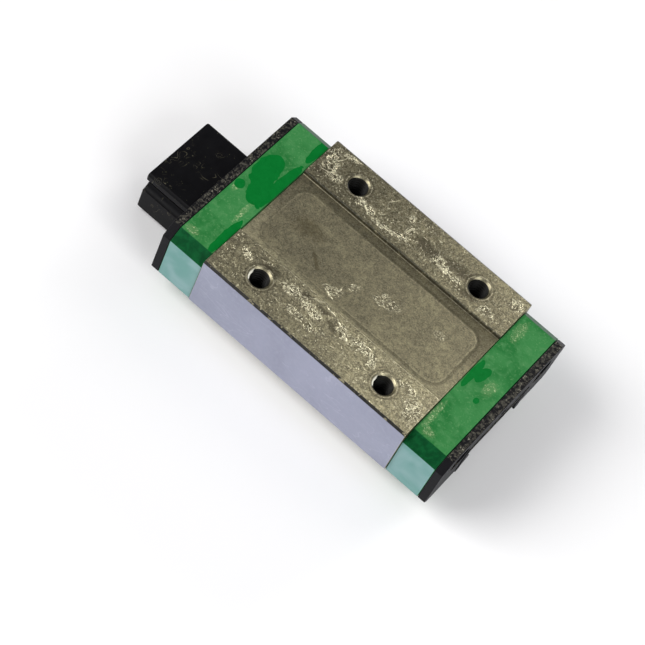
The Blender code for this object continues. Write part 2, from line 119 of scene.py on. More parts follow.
def corner_arc(before, corner, after, radius, steps=4):
    """Points that round one corner of an outline."""
    corner = Vector(corner)
    back = (Vector(before) - corner).normalized()
    forward = (Vector(after) - corner).normalized()
    half_angle = back.angle(forward) / 2
    centre = corner + (back + forward).normalized() * radius / math.sin(half_angle)
    first = corner + back * radius / math.tan(half_angle) - centre
    last = corner + forward * radius / math.tan(half_angle) - centre
    turn = first.angle_signed(last)
    points = []
    for index in range(steps + 1):
        spoke = first.copy()
        spoke.rotate(Matrix.Rotation(-turn * index / steps, 2))
        points.append(tuple(centre + spoke))
    return points


def rounded(corners):
    """Round an outline's corners. Each entry is (across, up) or (across, up, radius)."""
    outline = []
    count = len(corners)
    for index, entry in enumerate(corners):
        if len(entry) == 2:
            outline.append(entry)
            continue
        before = corners[index - 1][:2]
        after = corners[(index + 1) % count][:2]
        outline += corner_arc(before, entry[:2], after, entry[2])
    return outline


def mirrored(half):
    """Close an outline across the middle plane, from its half at positive Y."""
    return half + [(-entry[0], *entry[1:]) for entry in reversed(half)]


def inset(outline, amount):
    """Move an outline inwards by an amount, keeping its number of points."""
    if amount == 0:
        return outline
    moved = []
    count = len(outline)
    area = sum(
        a[0] * b[1] - b[0] * a[1] for a, b in zip(outline, outline[1:] + outline[:1])
    )
    turn = 1 if area > 0 else -1
    for index, point in enumerate(outline):
        here = Vector(point)
        back = (here - Vector(outline[index - 1])).normalized()
        ahead = (Vector(outline[(index + 1) % count]) - here).normalized()
        first = Vector((-back.y, back.x)) * turn
        second = Vector((-ahead.y, ahead.x)) * turn
        moved.append(tuple(here + (first + second) * amount / (1 + first.dot(second))))
    return moved


def tongue(radius, wall, steps):
    """The arc of a ball groove or tongue where it crosses a wall, from the bottom up."""
    lean = math.degrees(math.asin((ROW_Y - wall) / radius))
    return arc((ROW_Y, ROW_Z), radius, 270 - lean, 90 + lean, steps)


def reach_of(node):
    """A node's inner and outer places along X."""
    low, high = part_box(node)
    return sorted((low.x, high.x), key=abs)


def block_outline():
    """Section of the steel block."""
    side = BLOCK_HIGH.y
    top = BLOCK_HIGH.z
    bottom = BLOCK_LOW.z
    lean = math.degrees(math.asin((ROW_Y - CHANNEL_HALF_WIDTH) / BLOCK_GROOVE_RADIUS))
    floor = top - RECESS_DEPTH
    half = [
        (RECESS_HALF_WIDTH - 0.12 * MM, floor, 0.14 * MM),
        (RECESS_HALF_WIDTH, top, 0.14 * MM),
        (side - EDGE_BREAK, top, 0.14 * MM),
        (side, top - EDGE_BREAK, 0.14 * MM),
        (side, bottom + 1.0 * MM, 0.15 * MM),
        (side - 1.0 * MM, bottom, 0.15 * MM),
        (CHANNEL_HALF_WIDTH + EDGE_BREAK, bottom, 0.14 * MM),
        (CHANNEL_HALF_WIDTH, bottom + EDGE_BREAK, 0.14 * MM),
    ]
    half += arc((ROW_Y, ROW_Z), BLOCK_GROOVE_RADIUS, -90 - lean, 90 + lean, 28)
    half += [
        (CHANNEL_HALF_WIDTH, CHANNEL_CEILING - EDGE_BREAK, 0.14 * MM),
        (CHANNEL_HALF_WIDTH - EDGE_BREAK, CHANNEL_CEILING, 0.14 * MM),
    ]
    return rounded(mirrored(half))


def end_outline(wall, ceiling, tongue_radius):
    """Section of an end cap or seal around an opening for the rail."""
    top = CAP_HIGH.z
    bottom = CAP_LOW.z
    side = CAP_HIGH.y
    half = [
        (side - CAP_TOP_CHAMFER, top, 0.25 * MM),
        (side, top - CAP_TOP_CHAMFER, 0.25 * MM),
        (side, bottom + CAP_BOTTOM_CHAMFER, 0.25 * MM),
        (side - CAP_BOTTOM_CHAMFER, bottom, 0.25 * MM),
        (wall + EDGE_BREAK, bottom, 0.12 * MM),
        (wall, bottom + EDGE_BREAK, 0.12 * MM),
    ]
    half += tongue(tongue_radius, wall, 24)
    half += [
        (wall, ceiling - EDGE_BREAK, 0.12 * MM),
        (wall - EDGE_BREAK, ceiling, 0.12 * MM),
    ]
    return rounded(mirrored(half))


def rail_outline():
    """Section of the dummy rail."""
    wall = RAIL_HIGH.y
    slot_half_height = 0.4 * MM
    slot_floor = wall - 1.55 * MM
    lean = math.degrees(math.asin((ROW_Y - wall) / RAIL_GROOVE_RADIUS))
    slot = math.degrees(math.asin(slot_half_height / RAIL_GROOVE_RADIUS))
    centre = (ROW_Y, ROW_Z)
    half = [
        (wall - 0.7 * MM, 0.0, 0.25 * MM),
        (wall, 0.7 * MM, 0.25 * MM),
    ]
    half += arc(centre, RAIL_GROOVE_RADIUS, 270 - lean, 180 + slot, 12)
    half += [
        (slot_floor, ROW_Z - slot_half_height, 0.12 * MM),
        (slot_floor, ROW_Z + slot_half_height, 0.12 * MM),
    ]
    half += arc(centre, RAIL_GROOVE_RADIUS, 180 - slot, 90 + lean, 12)
    half += [
        (wall, RAIL_HIGH.z - EDGE_BREAK, 0.24 * MM),
        (wall - EDGE_BREAK, RAIL_HIGH.z, 0.24 * MM),
    ]
    return rounded(mirrored(half))


# ---------------------------------------------------------------- mesh work


def new_object(name, shape):
    """Make an object from a bmesh, with its faces pointing out."""
    bmesh.ops.recalc_face_normals(shape, faces=shape.faces)
    mesh = bpy.data.meshes.new(name)
    shape.to_mesh(mesh)
    shape.free()
    item = bpy.data.objects.new(name, mesh)
    bpy.context.scene.collection.objects.link(item)
    return item


def skinned(name, rings):
    """Skin closed rings, each a pair of a place along X and an outline in Y and Z."""
    shape = bmesh.new()
    loops = [
        [shape.verts.new((along, across, up)) for across, up in outline]
        for along, outline in rings
    ]
    for loop, following in zip(loops, loops[1:]):
        count = len(loop)
        for index in range(count):
            after = (index + 1) % count
            shape.faces.new((loop[index], loop[after], following[after], following[index]))
    shape.faces.new(loops[0])
    shape.faces.new(loops[-1])
    return new_object(name, shape)


def softened(start, stop, radius, steps=3):
    """Stations of (place, inset) from start to stop that round both end edges."""
    way = 1 if stop > start else -1
    stations = []
    for index in range(steps + 1):
        angle = math.pi / 2 * index / steps
        stations.append((radius * (1 - math.sin(angle)), radius * (1 - math.cos(angle))))
    head = [(start + way * depth, cut_in) for cut_in, depth in stations]
    tail = [(stop - way * depth, cut_in) for cut_in, depth in reversed(stations)]
    return head + tail


def bar(name, outline, start, stop, radius):
    """Extrude an outline along X with rounded end edges."""
    rings = [(place, inset(outline, amount)) for place, amount in softened(start, stop, radius)]
    return skinned(name, rings)


def spun(profile, turns, rise, steps):
    """A bmesh of (radius, height) points turned about Z, which rises with each turn."""
    shape = bmesh.new()
    line = [shape.verts.new((radius, 0.0, height)) for radius, height in profile]
    edges = [shape.edges.new(pair) for pair in zip(line, line[1:])]
    bmesh.ops.spin(
        shape,
        geom=line + edges,
        cent=(0, 0, 0),
        axis=(0, 0, 1),
        dvec=(0, 0, rise / steps),
        angle=2 * math.pi * turns,
        steps=steps * turns,
    )
    bmesh.ops.remove_doubles(shape, verts=shape.verts, dist=0.0002 * MM)
    return shape


def turned(name, profile, steps, matrix):
    """Turn a profile of (radius, height) points about its own Z."""
    shape = spun(profile, 1, 0.0, steps)
    bmesh.ops.transform(shape, matrix=matrix, verts=shape.verts)
    return new_object(name, shape)


def threaded(name, core, crest, pitch, bottom, top, matrix, steps=40):
    """Make a closed rod with a helical thread, between two heights on its own Z."""
    turns = math.ceil((top - bottom) / pitch) + 3
    start = bottom - 1.5 * pitch
    shares = [(core, 0.0), (core, 0.14), (crest, 0.45), (crest, 0.55), (core, 0.86), (core, 1.0)]
    profile = [(radius, start + share * pitch) for radius, share in shares]
    shape = spun(profile, turns, pitch, steps)
    for height, outward in ((bottom, -1), (top, 1)):
        geometry = shape.verts[:] + shape.edges[:] + shape.faces[:]
        bmesh.ops.bisect_plane(
            shape,
            geom=geometry,
            plane_co=(0, 0, height),
            plane_no=(0, 0, outward),
            clear_outer=True,
        )
        rim = [
            edge
            for edge in shape.edges
            if edge.is_boundary and all(abs(v.co.z - height) < 0.001 * MM for v in edge.verts)
        ]
        bmesh.ops.edgeloop_fill(shape, edges=rim)
    bmesh.ops.transform(shape, matrix=matrix, verts=shape.verts)
    return new_object(name, shape)


def cylinder(name, radius, start, stop, across, up, steps=40):
    """Make a cylinder along X."""
    shape = bmesh.new()
    middle = Matrix.Translation(((start + stop) / 2, across, up))
    bmesh.ops.create_cone(
        shape,
        cap_ends=True,
        segments=steps,
        radius1=radius,
        radius2=radius,
        depth=abs(stop - start),
        matrix=middle @ Matrix.Rotation(math.pi / 2, 4, "Y"),
    )
    return new_object(name, shape)


def combine(item, others, operation="DIFFERENCE"):
    """Cut other objects out of an object, or join them to it, and remove them."""
    for other in others:
        boolean = item.modifiers.new("Boolean", "BOOLEAN")
        boolean.operation = operation
        boolean.solver = "EXACT"
        boolean.object = other
    bpy.context.view_layer.update()
    evaluated = item.evaluated_get(bpy.context.evaluated_depsgraph_get())
    mesh = bpy.data.meshes.new_from_object(evaluated)
    item.modifiers.clear()
    item.data = mesh
    for other in others:
        bpy.data.objects.remove(other, do_unlink=True)


def finish(item, material, slot_name, body, *nodes):
    """Shade a piece, give it its material, and put it on its body in place of CAD nodes."""
    item.data.materials.clear()
    item.data.materials.append(material)
    if item.type == "MESH":
        item.data.shade_smooth()
        item.data.set_sharp_from_angle(angle=SHARP_ANGLE)
        weighted = item.modifiers.new("Weighted normals", "WEIGHTED_NORMAL")
        weighted.keep_sharp = True
    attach(item, body)
    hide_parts(*nodes)
    return item


# ---------------------------------------------------------------- shader graphs


class Graph:
    """Short ways to add nodes to a material and join them."""

    def __init__(self, name):
        self.material = bpy.data.materials.new(name)
        self.material.use_nodes = True
        self.tree = self.material.node_tree
        self.shader = self.tree.nodes["Principled BSDF"]
        coordinates = self.add("ShaderNodeTexCoord")
        self.place = coordinates.outputs["Object"]
        self.x, self.y, self.z = self.split(self.place)
        self.face_x, self.face_y, self.face_z = self.split(coordinates.outputs["Normal"])

    def add(self, kind, **settings):
        """Add a node and set its properties."""
        node = self.tree.nodes.new(kind)
        for key, value in settings.items():
            setattr(node, key, value)
        return node

    def feed(self, socket, value):
        """Join an output to a socket, or set the socket's value."""
        if isinstance(value, bpy.types.NodeSocket):
            self.tree.links.new(value, socket)
        else:
            socket.default_value = value

    def split(self, vector):
        """The three parts of a vector."""
        node = self.add("ShaderNodeSeparateXYZ")
        self.feed(node.inputs[0], vector)
        return node.outputs

    def math(self, operation, first, second=0.0):
        """The result of a Math node."""
        node = self.add("ShaderNodeMath", operation=operation)
        self.feed(node.inputs[0], first)
        self.feed(node.inputs[1], second)
        return node.outputs[0]

    def plus(self, *values):
        """The sum of several values."""
        total = values[0]
        for value in values[1:]:
            total = self.math("ADD", total, value)
        return total

    def times(self, *values):
        """The product of several values."""
        total = values[0]
        for value in values[1:]:
            total = self.math("MULTIPLY", total, value)
        return total

    def minus(self, first, second):
        """The difference of two values."""
        return self.math("SUBTRACT", first, second)

    def length(self, first, second):
        """The length of a vector with two parts."""
        squares = self.plus(self.times(first, first), self.times(second, second))
        return self.math("SQRT", squares)

    def size(self, value):
        """The absolute value."""
        return self.math("ABSOLUTE", value)

    def ramp(self, value, low, high, to_low=0.0, to_high=1.0):
        """Map a value smoothly from low..high to another range."""
        node = self.add("ShaderNodeMapRange", interpolation_type="SMOOTHSTEP")
        for socket, setting in zip(node.inputs, (value, low, high, to_low, to_high)):
            self.feed(socket, setting)
        return node.outputs[0]

    def moved(self, scale, offset=(0.0, 0.0, 0.0)):
        """The object's own coordinates, stretched and shifted."""
        node = self.add("ShaderNodeMapping")
        self.feed(node.inputs["Vector"], self.place)
        node.inputs["Scale"].default_value = scale
        node.inputs["Location"].default_value = offset
        return node.outputs[0]

    def noise(self, scale, detail=3.0, distortion=0.0, vector=None, roughness=0.55):
        """A noise texture's value, about 0 to 1. The scale is in features per metre."""
        node = self.add("ShaderNodeTexNoise")
        self.feed(node.inputs["Vector"], vector or self.place)
        node.inputs["Scale"].default_value = scale
        node.inputs["Detail"].default_value = detail
        node.inputs["Distortion"].default_value = distortion
        node.inputs["Roughness"].default_value = roughness
        return node.outputs["Fac"]

    def specks(self, scale, size, vector=None):
        """Small round specks, 1 inside and 0 outside."""
        node = self.add("ShaderNodeTexVoronoi")
        self.feed(node.inputs["Vector"], vector or self.place)
        node.inputs["Scale"].default_value = scale
        return self.ramp(node.outputs["Distance"], size * 0.5, size, 1.0, 0.0)

    def line(self, value, level, width):
        """1 where a value is near a level, falling to 0 at the width."""
        return self.ramp(self.size(self.minus(value, level)), width * 0.3, width, 1.0, 0.0)

    def folds(self, value, count, width):
        """Contour lines of a value, as if it were a wrinkled skin seen from above."""
        turns = self.math("FRACT", self.times(value, count))
        return self.line(turns, 0.5, width)

    def scaled(self, tint, factor):
        """A colour times a value."""
        node = self.add("ShaderNodeVectorMath", operation="SCALE")
        self.feed(node.inputs[0], tint)
        self.feed(node.inputs["Scale"], factor)
        return node.outputs[0]

    def near(self, places, wobble, sharpness=0.25, drift=0.0):
        """1 inside patches, given as (x, y, length, width, angle) in millimetres and degrees."""
        here_x = self.plus(self.x, drift)
        here_y = self.minus(self.y, drift)
        mask = None
        for place_x, place_y, length, width, angle in places:
            turn = math.radians(angle)
            off_x = self.minus(here_x, place_x * MM)
            off_y = self.minus(here_y, place_y * MM)
            along = self.plus(
                self.times(off_x, math.cos(turn) / (length * MM)),
                self.times(off_y, math.sin(turn) / (length * MM)),
            )
            across = self.plus(
                self.times(off_y, math.cos(turn) / (width * MM)),
                self.times(off_x, -math.sin(turn) / (width * MM)),
            )
            reach = self.plus(self.length(along, across), wobble)
            patch = self.ramp(reach, 1.0 - sharpness, 1.0, 1.0, 0.0)
            mask = patch if mask is None else self.math("MAXIMUM", mask, patch)
        return mask

    def mix(self, factor, first, second):
        """Two colours mixed."""
        node = self.add("ShaderNodeMix", data_type="RGBA")
        self.feed(node.inputs["Factor"], factor)
        self.feed(node.inputs[6], first)
        self.feed(node.inputs[7], second)
        return node.outputs[2]

    def bump(self, height, depth):
        """Send a height to the shader's normal, depth being its real size in metres."""
        node = self.add("ShaderNodeBump")
        node.inputs["Distance"].default_value = depth
        self.feed(node.inputs["Height"], height)
        self.feed(self.shader.inputs["Normal"], node.outputs["Normal"])

    def set(self, **values):
        """Set or feed the shader's sockets by name, with _ for a space."""
        for key, value in values.items():
            self.feed(self.shader.inputs[key.replace("_", " ")], value)


def color(red, green, blue):
    """A linear colour from display values of 0 to 255."""
    parts = []
    for value in (red, green, blue):
        share = value / 255
        parts.append(share / 12.92 if share <= 0.04045 else ((share + 0.055) / 1.055) ** 2.4)
    return (*parts, 1.0)


# ---------------------------------------------------------------- materials

# Where oil has wrinkled: x, y, half length, half width in millimetres, and angle in degrees
PAD_WRINKLES = [
    (-14.6, 10.2, 1.7, 2.4, 20),
    (-13.0, 12.6, 1.6, 0.6, 10),
    (-12.6, 8.6, 1.2, 0.9, 0),
    (-8.4, 8.4, 1.2, 0.9, -20),
    (-6.8, 8.2, 0.9, 0.8, -40),
    (-4.2, 7.6, 1.8, 0.6, 4),
    (-1.6, 8.2, 1.2, 0.7, 10),
    (-1.2, 10.0, 0.8, 1.4, 0),
    (-2.2, 11.4, 0.7, 0.8, 0),
    (4.8, 8.9, 2.4, 1.0, -12),
    (7.2, 8.4, 1.0, 0.9, 0),
    (12.4, 7.7, 1.5, 0.8, 20),
    (14.9, 11.6, 1.2, 1.3, 20),
    (-13.4, -8.4, 1.5, 0.6, -20),
    (-6.4, -8.4, 2.2, 0.9, 10),
    (-2.8, -8.6, 2.6, 0.9, -12),
    (1.6, -8.0, 2.0, 0.8, -25),
    (4.6, -8.2, 2.2, 1.0, 0),
    (6.9, -8.6, 0.9, 1.5, 10),
    (-3.0, -10.6, 3.4, 0.7, -5),
    (12.4, -8.3, 1.8, 0.8, 0),
    (14.6, -10.4, 1.5, 2.2, 20),
]
RECESS_WRINKLES = [
    (-2.6, -4.2, 1.5, 1.0, 10),
    (-1.2, -2.0, 1.2, 0.7, 45),
    (3.2, -0.2, 2.6, 1.3, 20),
    (10.6, 0.9, 0.9, 0.7, 0),
]
# Where short curved painted highlights lie: x, y, half length, half width in millimetres, and angle in
# degrees
HIGHLIGHT_STROKES = [
    (-3.0, -7.0, 1.2, 0.17, 20),
    (-1.1, -6.8, 1.1, 0.17, -8),
    (0.7, -7.4, 1.2, 0.20, -34),
    (2.3, -8.3, 1.1, 0.22, -26),
    (4.2, -7.9, 0.9, 0.17, 60),
    (5.2, -7.4, 1.1, 0.18, -4),
    (6.3, -8.4, 1.0, 0.17, -70),
    (-13.4, -8.2, 1.4, 0.14, -24),
    (-3.8, -4.3, 0.8, 0.13, 76),
    (-2.6, -5.1, 1.1, 0.14, -5),
    (-2.4, -3.4, 0.9, 0.11, 50),
    (-1.3, -1.9, 0.8, 0.11, 60),
    (-5.2, 11.2, 1.3, 0.10, 78),
    (-5.6, 9.4, 0.7, 0.12, 40),
    (-7.7, 8.2, 1.3, 0.15, -24),
    (-1.3, 9.6, 1.2, 0.14, 80),
    (-3.6, 7.7, 1.9, 0.13, 6),
    (-14.4, 8.9, 1.4, 0.13, 30),
    (-14.0, 11.4, 1.5, 0.13, 55),
    (-12.4, 12.7, 1.3, 0.14, 4),
    (5.2, 8.6, 2.0, 0.13, -14),
    (14.4, -9.8, 1.3, 0.14, 62),
]
# Where painted shade lies round the wrinkles: x, y, half length, half width in millimetres, and angle in
# degrees
SHADE_HALOS = [
    (-15.0, 8.2, 1.0, 0.9, 0),
    (-4.4, -7.7, 1.2, 0.6, 20),
    (-1.8, -7.6, 1.4, 0.5, -5),
    (0.4, -8.5, 1.5, 0.5, -20),
    (2.0, 9.6, 3.4, 1.1, -10),
    (6.5, 10.2, 2.6, 1.0, 0),
    (9.0, 8.0, 2.4, 0.6, 0),
    (-9.6, -8.0, 1.8, 0.8, 0),
]
REAR_WET = [
    (-19.5, 3.0, 1.7, 3.1, 0),
    (-18.5, 0.2, 1.5, 3.0, 12),
    (-16.9, 2.2, 0.8, 5.0, 0),
    (-16.9, 10.2, 0.65, 2.6, 0),
    (-16.8, -8.6, 0.65, 3.2, 0),
    (-20.6, -1.2, 0.7, 0.8, 0),
]
FRONT_WET = [
    (17.8, 0.5, 0.7, 1.5, -8),
    (16.8, 0.0, 0.5, 2.8, 0),
    (19.4, -2.9, 0.4, 0.5, 0),
]
CAP_FILM = [
    (19.7, -0.4, 1.1, 1.7, 0),
    (17.4, 9.0, 0.9, 2.4, 0),
    (16.8, -8.2, 0.55, 3.4, 0),
    (17.8, -10.8, 1.0, 0.8, 0),
    (-17.6, -4.0, 0.5, 2.6, 0),
    (-20.2, -10.9, 1.3, 0.7, 0),
    (-20.7, -1.6, 0.6, 1.3, 0),
]


def ground_steel():
    """Fine ground steel under preserving oil, wrinkled on the pads and black in the holes, with painted
    light, shade, highlights and reflections.
    """
    graph = Graph("ground_steel")
    top = BLOCK_HIGH.z
    floor = top - RECESS_DEPTH
    pad = graph.ramp(graph.z, top - 0.12 * MM, top - 0.04 * MM)
    low = graph.minus(1.0, pad)
    top_face = graph.ramp(graph.face_z, 0.6, 0.9)
    low_face = graph.times(low, top_face)
    side_face = graph.ramp(graph.size(graph.face_y), 0.75, 0.95)
    outside = graph.ramp(graph.size(graph.y), BLOCK_HIGH.y - 0.2 * MM, BLOCK_HIGH.y - 0.05 * MM)

    grain = graph.noise(5200, 2.0, 0.4)
    mottle = graph.noise(1700, 4.0, 0.6)
    cloud = graph.noise(240, 3.0, 0.6)
    breaks = graph.ramp(graph.noise(2600, 2.0, 0.8), 0.44, 0.56)

    base = graph.mix(graph.ramp(mottle, 0.3, 0.7), color(126, 121, 100), color(162, 155, 126))
    base = graph.mix(graph.ramp(cloud, 0.35, 0.65, 0.0, 0.4), base, color(114, 109, 92))
    coarse = graph.plus(0.42, graph.times(pad, 0.25))
    base = graph.mix(graph.times(graph.ramp(grain, 0.50, 0.68), coarse, 0.6), base, color(208, 200, 164))
    base = graph.mix(graph.times(graph.ramp(grain, 0.48, 0.32), coarse, 0.8), base, color(66, 62, 50))

    # A pool of oil lies on the recess floor. Its border is painted paler on the right and darker on the
    # left, and the pads are painted lighter towards the right and the front: painted light and shade.
    over_x = graph.math("MAXIMUM", graph.minus(graph.size(graph.x), 12.8 * MM), 0.0)
    off_middle = graph.size(graph.plus(graph.y, 0.25 * MM))
    over_y = graph.math("MAXIMUM", graph.minus(off_middle, 3.1 * MM), 0.0)
    reach = graph.plus(graph.length(over_x, over_y), graph.times(cloud, 0.4 * MM))
    border = graph.times(graph.ramp(reach, 2.15 * MM, 2.35 * MM), low_face)
    across = graph.ramp(graph.y, -4.5 * MM, 5.0 * MM, 1.25, 0.66)
    border_painted_light = graph.times(across, graph.ramp(graph.x, -15 * MM, 15 * MM, 1.12, 0.95))
    pad_painted_light = graph.times(
        graph.ramp(graph.y, -6 * MM, 6 * MM, 1.15, 0.80),
        graph.ramp(graph.x, -15 * MM, 15 * MM, 0.90, 1.24),
    )
    painted_light_tone = graph.plus(1.0, graph.times(border, graph.minus(border_painted_light, 1.0)))
    painted_light_tone = graph.plus(graph.times(pad, pad_painted_light), graph.times(low, painted_light_tone))
    # The whole top is painted lighter, a little more towards the front: painted light.
    base = graph.scaled(base, graph.times(painted_light_tone, graph.ramp(graph.x, -15 * MM, 15 * MM, 1.14, 1.18)))
    # A broken pale line at the pool's edge is a painted highlight; a dark line lies just outside it,
    # stronger towards the front.
    rim = graph.times(graph.line(reach, 2.05 * MM, 0.15 * MM), low_face, breaks)
    base = graph.mix(graph.times(rim, 0.35), base, color(214, 205, 170))
    gutter = graph.times(graph.line(reach, 2.34 * MM, 0.34 * MM), low_face)
    gutter = graph.times(gutter, graph.ramp(graph.x, -12 * MM, 4 * MM, 0.12, 0.4))
    base = graph.mix(gutter, base, color(70, 66, 54))

    # Thick brown oil and dark specks towards the rear of the pool, pale specks towards its front.
    ripple = graph.minus(graph.noise(700, 3.0, 0.6), 0.5)
    stain = graph.near([(-10.4, 0.4, 3.4, 2.2, 0), (-7.0, -2.4, 2.2, 0.5, -40)], ripple, 0.8)
    base = graph.mix(graph.times(stain, low_face, 0.45), base, color(80, 68, 44))
    dark = graph.times(graph.specks(2300, 0.20), graph.ramp(graph.noise(520), 0.45, 0.6), low_face)
    dark = graph.times(dark, graph.ramp(graph.x, -3 * MM, -9 * MM))
    base = graph.mix(graph.times(dark, 0.6), base, color(40, 38, 30))
    pale = graph.times(graph.specks(2500, 0.15), graph.ramp(graph.noise(640), 0.45, 0.6), low_face)
    pale = graph.times(pale, graph.ramp(graph.x, -2 * MM, 8 * MM), 0.5)
    base = graph.mix(pale, base, color(214, 206, 160))

    # Wrinkled oil: painted highlights along the folds, which break up into short curved strokes, and
    # painted shade in the hollows.
    wobble = graph.times(ripple, 1.5)
    pad_patch = graph.times(graph.near(PAD_WRINKLES, wobble, 0.5), pad)
    recess_patch = graph.times(graph.near(RECESS_WRINKLES, wobble, 0.5), low, 0.6)
    patch = graph.times(graph.plus(pad_patch, recess_patch), top_face)
    skin = graph.noise(760, 1.0, 2.6)
    fold_highlight = graph.times(graph.folds(skin, 7.0, 0.26), graph.ramp(graph.noise(2000, 2.0, 0.8), 0.42, 0.50))
    drift = graph.times(graph.minus(graph.noise(420, 1.0), 0.5), 2.2 * MM)
    highlight_stroke = graph.times(graph.near(HIGHLIGHT_STROKES, graph.times(ripple, 0.8), 0.6, drift), top_face)
    stray_highlight = graph.times(graph.ramp(graph.noise(3300, 2.0, 1.0), 0.61, 0.69), graph.plus(pad, 0.2))
    highlit_ridge = graph.plus(graph.times(fold_highlight, patch), graph.times(stray_highlight, top_face, 0.45))
    highlit_ridge = graph.math("MAXIMUM", highlit_ridge, graph.times(highlight_stroke, graph.plus(0.45, graph.times(breaks, 0.55))))
    painted_shade_hollow = graph.times(graph.near(SHADE_HALOS, wobble, 0.5), pad, top_face)
    painted_shade_hollow = graph.math("MAXIMUM", graph.times(painted_shade_hollow, 0.8), graph.times(patch, 0.55))
    base = graph.mix(graph.times(painted_shade_hollow, 0.8), base, color(88, 82, 68))
    base = graph.mix(graph.times(highlit_ridge, 0.92), base, color(255, 248, 212))

    # The long chamfers and the pads' inner edges are darkened, partly by oil and partly as painted shade,
    # broken by spots left bright. A broken pale line along the right pad's inner edge is a painted
    # highlight.
    edge = graph.times(
        graph.ramp(graph.size(graph.y), BLOCK_HIGH.y - 0.36 * MM, BLOCK_HIGH.y - 0.28 * MM),
        graph.ramp(graph.z, top - 0.36 * MM, top - 0.28 * MM),
    )
    off_step = graph.size(graph.minus(graph.size(graph.y), RECESS_HALF_WIDTH))
    step_shade = graph.times(
        graph.ramp(off_step, 0.10 * MM, 0.24 * MM, 1.0, 0.0),
        graph.ramp(graph.z, floor + 0.02 * MM, floor + 0.1 * MM),
        graph.ramp(graph.y, -2 * MM, 2 * MM, 0.25, 1.0),
    )
    worn = graph.ramp(graph.noise(1300, 3.0, 0.5), 0.58, 0.68, 1.0, 0.15)
    oil_and_shade_edge = graph.times(graph.math("MAXIMUM", edge, graph.times(step_shade, 0.68)), worn)
    base = graph.mix(graph.times(oil_and_shade_edge, 0.94), base, color(46, 47, 50))
    inner_edge_highlight = graph.times(graph.line(graph.y, -RECESS_HALF_WIDTH, 0.16 * MM), breaks)
    base = graph.mix(graph.times(inner_edge_highlight, 0.3), base, color(214, 206, 172))

    # The sides are painted paler and cooler, a painted reflection, with a few pale runs painted as
    # streaks of reflection.
    sheen_haze = graph.noise(70, 2.0, 0.8)
    side_reflection_color = graph.mix(graph.ramp(sheen_haze, 0.3, 0.7), color(155, 158, 178), color(167, 170, 190))
    side_reflection_color = graph.mix(graph.ramp(mottle, 0.4, 0.7, 0.0, 0.2), side_reflection_color, color(186, 188, 206))
    reflection_runs = graph.folds(graph.noise(1.0, 2.0, 0.6, graph.moved((130, 200, 420))), 3.0, 0.03)
    side_reflection_color = graph.mix(graph.times(reflection_runs, 0.15), side_reflection_color, color(225, 226, 240))
    base = graph.mix(graph.times(side_face, outside, 0.95), base, side_reflection_color)

    # Black oil and painted shade darken the mounting holes and their mouths, and oil rings them. The
    # right holes get a painted glint on the wall, pale and not metallic.
    off_x = graph.minus(graph.x, graph.times(graph.math("SIGN", graph.x), MOUNT_OFFSET))
    off_y = graph.minus(graph.y, graph.times(graph.math("SIGN", graph.y), MOUNT_OFFSET))
    from_hole = graph.length(off_x, off_y)
    mouth = graph.ramp(from_hole, 1.60 * MM, 1.68 * MM, 1.0, 0.0)
    base = graph.mix(graph.times(mouth, top_face, 0.75), base, color(92, 88, 74))
    bore = graph.times(
        mouth,
        graph.ramp(graph.z, top - 0.30 * MM, top - 0.20 * MM, 1.0, 0.0),
        graph.ramp(graph.z, top - 5.0 * MM, top - 4.6 * MM),
    )
    base = graph.mix(graph.times(bore, 0.98), base, color(12, 12, 11))
    facing = graph.plus(graph.times(off_x, -0.97 / MM), graph.times(off_y, -0.24 / MM))
    painted_glint = graph.times(
        graph.ramp(facing, 1.12, 1.20),
        graph.line(graph.z, top - 0.35 * MM, 0.30 * MM),
        graph.ramp(graph.y, -2 * MM, 2 * MM, 1.0, 0.0),
        mouth,
    )
    base = graph.mix(painted_glint, base, color(250, 248, 232))
    ring = graph.times(graph.line(from_hole, 1.95 * MM, 0.22 * MM), pad, top_face)
    base = graph.mix(graph.times(ring, 0.4), base, color(74, 68, 56))
    # A broken pale line round each mouth is a painted highlight.
    lip = graph.times(graph.line(from_hole, 1.74 * MM, 0.09 * MM), top_face, pad, breaks)
    base = graph.mix(graph.times(lip, 0.5), base, color(235, 226, 196))

    roughness = graph.plus(0.36, graph.times(mottle, 0.14), graph.times(highlit_ridge, -0.12))
    height = graph.plus(graph.times(grain, 0.5), graph.times(mottle, 0.4), graph.times(highlit_ridge, 3.0))
    height = graph.plus(height, graph.times(skin, patch, 4.0))
    graph.bump(height, 0.010 * MM)
    bore_and_glint = graph.math("MAXIMUM", bore, painted_glint)
    graph.set(Base_Color=base, Roughness=roughness, Metallic=graph.minus(1.0, bore_and_glint))
    graph.set(Specular_IOR_Level=0.12)
    return graph.material


